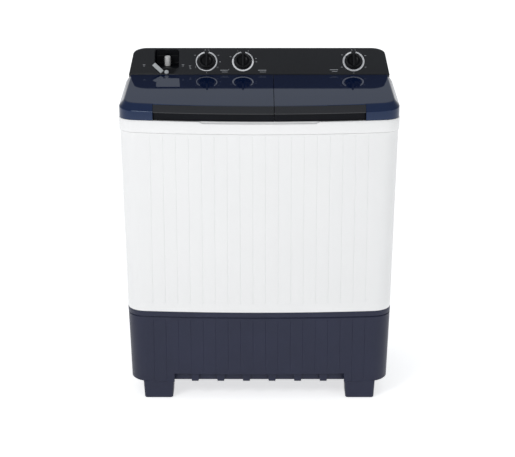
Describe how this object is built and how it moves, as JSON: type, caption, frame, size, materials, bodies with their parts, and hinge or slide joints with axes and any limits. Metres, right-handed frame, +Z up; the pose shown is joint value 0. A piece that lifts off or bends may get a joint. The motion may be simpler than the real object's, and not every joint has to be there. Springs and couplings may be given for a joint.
{
  "type": "twin tub washing machine",
  "caption": "Free-standing twin tub washer: wash well with pulsator beside a spin basket, two hinged lids, rear control console with three dials, inlet lever and white ribbed cabinet.",
  "frame": {"origin": "middle of the footprint, on the floor", "axes": "+Z up, -Y out of the front, +X to the right when seen from the front"},
  "size_m": [0.79, 0.46, 0.9781],
  "materials": {
    "white_plastic": "glossy white",
    "navy_plastic": "satin dark grey-blue",
    "lid_plastic": "glossy, slightly see-through dark blue",
    "black_gloss_plastic": "glossy near-black",
    "black_plastic": "satin black",
    "rubber": "dull black",
    "steel": "satin",
    "silver_ring": "bright silver print",
    "grey_plastic": "light grey",
    "cast_housing": "cast, dull grey",
    "pulsator_plastic": "glossy blue"
  },
  "bodies": {
    "machine": {"cabinet": "white_plastic", "twin_tub": "white_plastic", "inlet_nozzle": "white_plastic", "base": "navy_plastic", "foot_front_left": "navy_plastic", "foot_front_right": "navy_plastic", "foot_rear_left": "navy_plastic", "foot_rear_right": "navy_plastic", "control_housing": "black_gloss_plastic", "control_fascia": "black_gloss_plastic", "rear_cover": "black_plastic", "wash_timer_body": "black_plastic", "wash_selector_body": "black_plastic", "spin_timer_body": "black_plastic", "inlet_recess": "black_plastic", "drain_valve_body": "black_plastic", "drain_outlet": "black_plastic", "drain_hose": "black_plastic", "foot_pad_front_left": "rubber", "foot_pad_front_right": "rubber", "foot_pad_rear_left": "rubber", "foot_pad_rear_right": "rubber", "drive_belt": "rubber", "spin_bearing": "rubber", "spin_damper_1": "rubber", "spin_damper_2": "rubber", "spin_damper_3": "rubber", "cable_gland": "rubber", "wash_lid_hinge_rod": "steel", "spin_lid_hinge_rod": "steel", "spin_motor_plate": "steel", "dial_ring_wash_timer": "silver_ring", "dial_ring_wash_selector": "silver_ring", "dial_ring_spin_timer": "silver_ring", "wash_gearbox": "cast_housing", "wash_motor": "cast_housing", "spin_motor": "cast_housing"},
    "wash_lid": {"wash_lid": "lid_plastic", "wash_lid_grip": "black_gloss_plastic"},
    "spin_lid": {"spin_lid": "lid_plastic", "spin_lid_grip": "black_gloss_plastic"},
    "wash_timer": {"wash_timer_knob": "black_plastic", "wash_timer_shaft": "steel"},
    "wash_selector": {"wash_selector_knob": "black_plastic", "wash_selector_shaft": "steel"},
    "spin_timer": {"spin_timer_knob": "black_plastic", "spin_timer_shaft": "steel"},
    "inlet_lever": {"inlet_lever": "grey_plastic"},
    "wash_rotor": {"pulsator": "pulsator_plastic", "pulsator_shaft": "steel", "drive_pulley": "cast_housing"},
    "wash_motor_rotor": {"motor_pulley": "cast_housing"},
    "spin_rotor": {"spin_basket": "steel", "spin_shaft": "steel", "brake_drum": "cast_housing"},
    "drain_plunger": {"drain_plunger": "grey_plastic"},
    "brake_arm": {"brake_arm": "steel"},
    "lint_filter": {"lint_filter": "pulsator_plastic"}
  },
  "joints": [
    {"name": "wash_lid_hinge", "type": "hinge", "parent": "machine", "child": "wash_lid", "pos_m": [0, 0.05, 0.89502], "axis": [-1, 0, 0], "range_deg": [0, 100]},
    {"name": "spin_lid_hinge", "type": "hinge", "parent": "machine", "child": "spin_lid", "pos_m": [0, 0.05, 0.89502], "axis": [-1, 0, 0], "range_deg": [0, 100]},
    {"name": "wash_timer_turn", "type": "hinge", "parent": "machine", "child": "wash_timer", "pos_m": [-0.1545, 0.09469, 0.94407], "axis": [0, 0.809, -0.5878], "range_deg": [0, 300]},
    {"name": "wash_selector_turn", "type": "hinge", "parent": "machine", "child": "wash_selector", "pos_m": [-0.04799, 0.09469, 0.94407], "axis": [0, 0.809, -0.5878], "range_deg": [0, 180]},
    {"name": "spin_timer_turn", "type": "hinge", "parent": "machine", "child": "spin_timer", "pos_m": [0.27701, 0.09469, 0.94407], "axis": [0, 0.809, -0.5878], "range_deg": [0, 300]},
    {"name": "inlet_lever_swing", "type": "hinge", "parent": "machine", "child": "inlet_lever", "pos_m": [-0.27148, 0.074, 0.9156], "axis": [0, 0.809, -0.5878], "range_deg": [0, 90]},
    {"name": "pulsator_spin", "type": "hinge", "parent": "machine", "child": "wash_rotor", "pos_m": [-0.1705, -0.036, 0.395], "axis": [0, 0, 1], "continuous": true},
    {"name": "wash_motor_spin", "type": "hinge", "parent": "machine", "child": "wash_motor_rotor", "pos_m": [-0.3, 0.104, 0.2805], "axis": [0, 0, 1], "continuous": true},
    {"name": "basket_spin", "type": "hinge", "parent": "machine", "child": "spin_rotor", "pos_m": [0.206, -0.068, 0.42], "axis": [0, 0, 1], "continuous": true},
    {"name": "drain_valve_lift", "type": "slide", "parent": "machine", "child": "drain_plunger", "axis": [0, 0, 1], "range_m": [0, 0.012]},
    {"name": "brake_arm_swing", "type": "hinge", "parent": "machine", "child": "brake_arm", "pos_m": [0.2625, -0.013, 0.284], "axis": [0, 0, -1], "range_deg": [0, 5.1]},
    {"name": "lint_filter_lift", "type": "slide", "parent": "machine", "child": "lint_filter", "axis": [0, 0, 1], "range_m": [0, 0.05]}
  ],
  "couplings": [
    {"joint": "wash_motor_spin", "follows": "pulsator_spin", "ratio": 3.8},
    {"joint": "drain_valve_lift", "follows": "wash_selector_turn", "m_per_rad": 0.0038},
    {"joint": "brake_arm_swing", "follows": "spin_lid_hinge", "ratio": 0.05}
  ]
}
